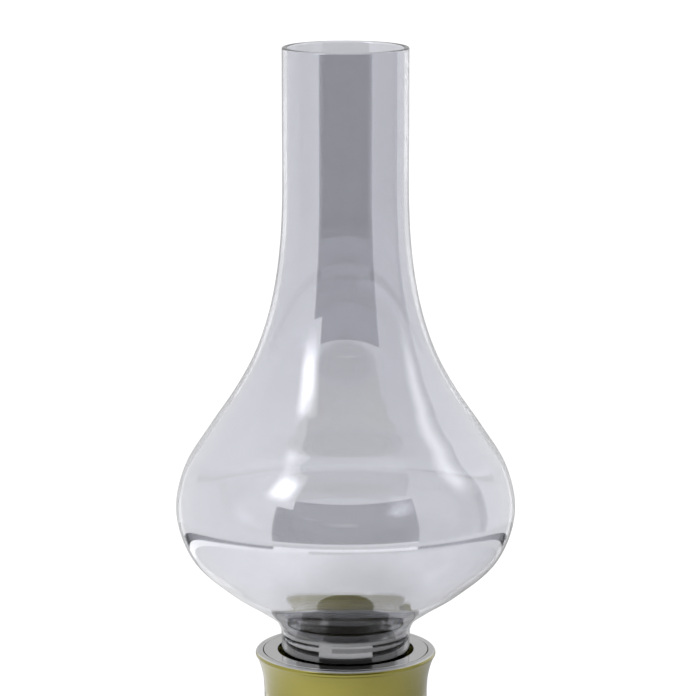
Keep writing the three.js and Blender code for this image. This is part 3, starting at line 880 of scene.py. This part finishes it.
def make_dome():
    """A sheet dome: rim, straight skirt, round shoulder, and a slot for the flame."""
    foot = low("flame_dome", 2)
    sheet = 0.5
    rim, skirt, top = 22.9, 20.8, 13
    skirt_height, rise = 10, 14
    outside = [(foot + sheet, rim), (foot + sheet, skirt)]
    inside = [(foot, rim), (foot, skirt - sheet)]
    for i in range(19):
        angle = math.radians(90 * i / 18)
        z, r = foot + skirt_height + rise * math.sin(angle), top + (skirt - top) * math.cos(angle)
        outside.append((z + sheet, r))
        inside.append((z, r - sheet))
    outside.append((foot + skirt_height + rise + sheet, 0))
    inside.append((foot + skirt_height + rise, 0))
    slot = extruded(rounded_rectangle(25.8, 4.6, 2.2, 10), foot + 20, foot + 30)
    profile = rounded(outside + inside[::-1], 0.3, 3)
    piece("flame_dome", turned(profile, ROUND), BRASS_PAINTED_SHADE, cuts=[slot])


CHIMNEY_WALL = 2.0
# Outside of the chimney: height above the ring's top, radius.
CHIMNEY_OUTLINE = [
    (-9.4, 26.25),
    (0, 26.25),
    (6, 26.3),
    (9.5, 26.7),
    (13.6, 29.3),
    (18.5, 36.2),
    (27, 49.1),
    (40, 62.9),
    (58, 69.0),
    (76, 65.6),
    (92, 55.9),
    (108, 45.0),
    (124, 36.4),
    (142, 30.5),
    (162, 27.0),
    (184, 25.55),
    (215, 25.5),
    (247.3, 25.5),
]


def make_chimney():
    outside = spline([(RING_TOP + h, r) for h, r in CHIMNEY_OUTLINE], 10)
    inside = inside_of(outside, CHIMNEY_WALL)
    inside[0] = (outside[0][0], outside[0][1] - CHIMNEY_WALL)
    inside[-1] = (outside[-1][0], outside[-1][1] - CHIMNEY_WALL)
    profile = rounded(outside + inside[::-1], 0.95, 8)
    piece("chimney", turned(profile, ROUND), GLASS)


make_font()
make_burner()
make_winder()
make_wick()
make_dome()
make_chimney()


# ---- Studio ------------------------------------------------------------------------------------------


TENT_RADIUS = 720
TENT_TOP = 1500
TABLE_RADIUS = 405
TABLE_TOP = -2  # the lit table lies within the floor's thickness
TABLE_RIM = 470  # the table's outer band, which the burner casing reflects
GAP_RADIUS = 560  # outside of the dark gap beside the table
FRONT = 48  # the tent's dark front opening reaches this far to each side
BACK = 150  # the tent's back begins this far round on each side
BACK_END = 360 - BACK
WHITE = (1, 1, 1, 1)


def emission(name, strength):
    material = bpy.data.materials.new(name)
    material.use_nodes = True
    tree = material.node_tree
    tree.nodes.clear()
    light = put(tree, "ShaderNodeEmission", {"Color": WHITE, "Strength": strength})
    out = put(tree, "ShaderNodeOutputMaterial")
    tree.links.new(light.outputs[0], out.inputs["Surface"])
    return material


def tent_piece(name, shape, strength, seen="both"):
    """Part of the light tent: shows in reflections, or through the glass, or both, never directly."""
    obj = mesh_object(name, shape)
    obj.data.materials.append(emission(name, strength))
    for ray in ("camera", "diffuse", "volume_scatter", "shadow"):
        setattr(obj, "visible_" + ray, False)
    obj.visible_glossy = seen != "through"
    obj.visible_transmission = seen != "reflected"
    return obj


def round_strip(left, right, first, second):
    """A strip between two [radius, height] edges. Azimuth 0 is towards the camera, + towards +X."""
    steps = max(2, int((right - left) / 4))
    vertices = []
    for i in range(steps + 1):
        angle = math.radians(left + (right - left) * i / steps)
        for radius, height in (first, second):
            vertices.append((radius * math.sin(angle), -radius * math.cos(angle), height))
    faces = [[2 * i, 2 * i + 2, 2 * i + 3, 2 * i + 1] for i in range(steps)]
    return vertices, faces


def tent_panel(name, left, right, bottom, top, strength, radius=TENT_RADIUS, seen="both"):
    """Part of the tent's round wall."""
    shape = round_strip(left, right, (radius, bottom), (radius, top))
    return tent_piece(name, shape, strength, seen)


def apron(name, left, right, inner, outer, strength, seen="both"):
    """Part of a flat ring round the table."""
    shape = round_strip(left, right, (outer, TABLE_TOP), (inner, TABLE_TOP))
    tent_piece(name, shape, strength, seen)


def soft_lamp(name, azimuth, half_width, bottom, top, strength, around):
    """A lamp on the tent's wall with soft edges, which fades to the wall's own strength."""
    blur, rise = 6.0, 120.0  # half the soft edge, sideways in degrees and upwards in millimetres
    panel = (azimuth - half_width - blur, azimuth + half_width + blur, bottom - rise, top + rise)
    obj = tent_panel(name, *panel, 1.0, radius=TENT_RADIUS - 10)
    tree = obj.data.materials[0].node_tree
    x, y, z = put(tree, "ShaderNodeSeparateXYZ", {0: object_place(tree)}).outputs
    turn = math_node(tree, "ARCTAN2", x, math_node(tree, "MULTIPLY", y, -1.0))
    off = math_node(tree, "ABSOLUTE", math_node(tree, "SUBTRACT", turn, math.radians(azimuth)))
    edge = (math.radians(half_width - blur), math.radians(half_width + blur))
    middle, half_height = (bottom + top) / 2 * MM, (top - bottom) / 2 * MM
    away = math_node(tree, "ABSOLUTE", math_node(tree, "SUBTRACT", z, middle))
    end = (half_height - rise * MM, half_height + rise * MM)
    masks = []
    for value, (near, far) in ((off, edge), (away, end)):
        inputs = {"Value": value, "From Min": near, "From Max": far, "To Min": 1.0, "To Max": 0.0}
        fade = put(tree, "ShaderNodeMapRange", inputs, interpolation_type="SMOOTHSTEP")
        masks.append(fade.outputs[0])
    mask = math_node(tree, "MULTIPLY", *masks)
    level = math_node(tree, "MULTIPLY_ADD", mask, strength - around, around)
    tree.links.new(level, tree.nodes["Emission"].inputs["Strength"])


def make_table(name, front, back, left, seen):
    """The lit table under the lamp: brighter towards the camera, and brighter by left on the left."""
    table = tent_piece(name, extruded(disc(TABLE_RADIUS), TABLE_TOP - 1, TABLE_TOP), 1.0, seen)
    tree = table.data.materials[0].node_tree
    across, depth, _ = put(tree, "ShaderNodeSeparateXYZ", {0: object_place(tree)}).outputs
    reach = TABLE_RADIUS * MM
    from_front = ranged(tree, depth, front, back, -0.6 * reach, 0.6 * reach)
    from_left = ranged(tree, across, left, -left / 2, -0.4 * reach, 0.2 * reach)
    strength = math_node(tree, "ADD", from_front, from_left)
    tree.links.new(strength, tree.nodes["Emission"].inputs["Strength"])


def make_tent():
    left, right = 0.98, 0.66  # strengths of the side walls
    window_bottom, window_top = 40, 570  # the dark opening that the camera looks through
    seam, seam_end = 98, 106
    tent_panel("tent_front_low", -FRONT, FRONT, 0, window_bottom, 1.0)
    tent_panel("tent_front_dark", -FRONT, FRONT, window_bottom, window_top, 0.09)
    tent_panel("tent_front_top", -FRONT, FRONT, window_top, TENT_TOP, 0.70)
    tent_panel("tent_left", -BACK, -FRONT, 0, TENT_TOP, left)
    tent_panel("tent_right", FRONT, seam, 0, TENT_TOP, right)
    tent_panel("tent_seam", seam, seam_end, 0, TENT_TOP, 0.5)
    tent_panel("tent_right_back", seam_end, BACK, 0, TENT_TOP, 0.95)
    tent_panel("tent_back", BACK, BACK_END, 0, TENT_TOP, 0.6, seen="reflected")
    tent_panel("tent_behind", BACK, BACK_END, 0, TENT_TOP, 1.0, seen="through")
    soft_lamp("lamp_left", -50, 8, 580, 940, 3.2, left)
    soft_lamp("lamp_right", 92, 6, 460, 1060, 1.5, right)

    apron("apron_front", -FRONT, FRONT, GAP_RADIUS, TENT_RADIUS, 0.75)
    apron("apron_front_near", -FRONT, FRONT, TABLE_RIM, GAP_RADIUS, 1.5)
    rim_left, rim_right = -24, 30
    apron("table_rim_left", -BACK, rim_left, TABLE_RADIUS, TABLE_RIM, 1.45)
    apron("table_rim_front", rim_left, rim_right, TABLE_RADIUS, TABLE_RIM, 0.8)
    apron("table_rim_right", rim_right, BACK, TABLE_RADIUS, TABLE_RIM, 0.75)
    for name, start, end, strength in (("left", -BACK, -FRONT, 0.9), ("right", FRONT, BACK, 0.8)):
        apron("gap_" + name, start, end, TABLE_RIM, GAP_RADIUS, 0.04)
        apron("apron_" + name, start, end, GAP_RADIUS, TENT_RADIUS, strength)
    apron("apron_back", BACK, BACK_END, TABLE_RADIUS, TENT_RADIUS, 0.5, "reflected")
    apron("apron_behind", BACK, BACK_END, TABLE_RADIUS, TENT_RADIUS, 1.0, "through")
    make_table("tent_table", 1.05, 0.6, 0.3, "reflected")
    make_table("tent_table_through", 1.1, 1.0, 0.0, "through")
    tent_piece("tent_ceiling", extruded(disc(TENT_RADIUS), TENT_TOP, TENT_TOP + 1), 0.7)


def make_floor():
    """White paper for the lamp's shadow; the tent's table stands in for it in reflections."""
    floor = mesh_object("floor", extruded(disc(14000, 96), -3, 0))
    material, tree, shader = material_tree("floor_paper")
    place = object_place(tree)
    patches = ranged(tree, noise(tree, place, 3.0), 0.0, 1.0)
    color = blended(tree, patches, (0.86, 0.86, 0.86, 1), (0.88, 0.88, 0.88, 1))
    tree.links.new(color, shader.inputs["Base Color"])
    shader.inputs["Roughness"].default_value = 0.9
    floor.data.materials.append(material)
    floor.visible_glossy = False
    floor.visible_transmission = False


def make_lights():
    world = bpy.data.worlds.new("studio")
    world.use_nodes = True
    background = world.node_tree.nodes["Background"]
    background.inputs["Color"].default_value = WHITE
    background.inputs["Strength"].default_value = 1.0
    bpy.context.scene.world = world
    light = bpy.data.lights.new("key", "SUN")
    light.energy = 1.1
    light.angle = math.radians(50)
    key = bpy.data.objects.new("key", light)
    key.rotation_euler = (math.radians(28), math.radians(-24), 0)
    key.visible_glossy = False
    bpy.context.scene.collection.objects.link(key)


def make_camera():
    camera = bpy.data.cameras.new("camera")
    camera.sensor_width = 36
    camera.lens = 188.3
    camera.clip_end = 100
    holder = bpy.data.objects.new("camera", camera)
    look_down = 10.533
    holder.location = (0.00097, -1.447, 0.52635)
    holder.rotation_euler = (math.radians(90 - look_down), 0, 0)
    bpy.context.scene.collection.objects.link(holder)
    bpy.context.scene.camera = holder


make_tent()
make_floor()
make_lights()
make_camera()
bpy.context.scene.view_settings.view_transform = "Standard"
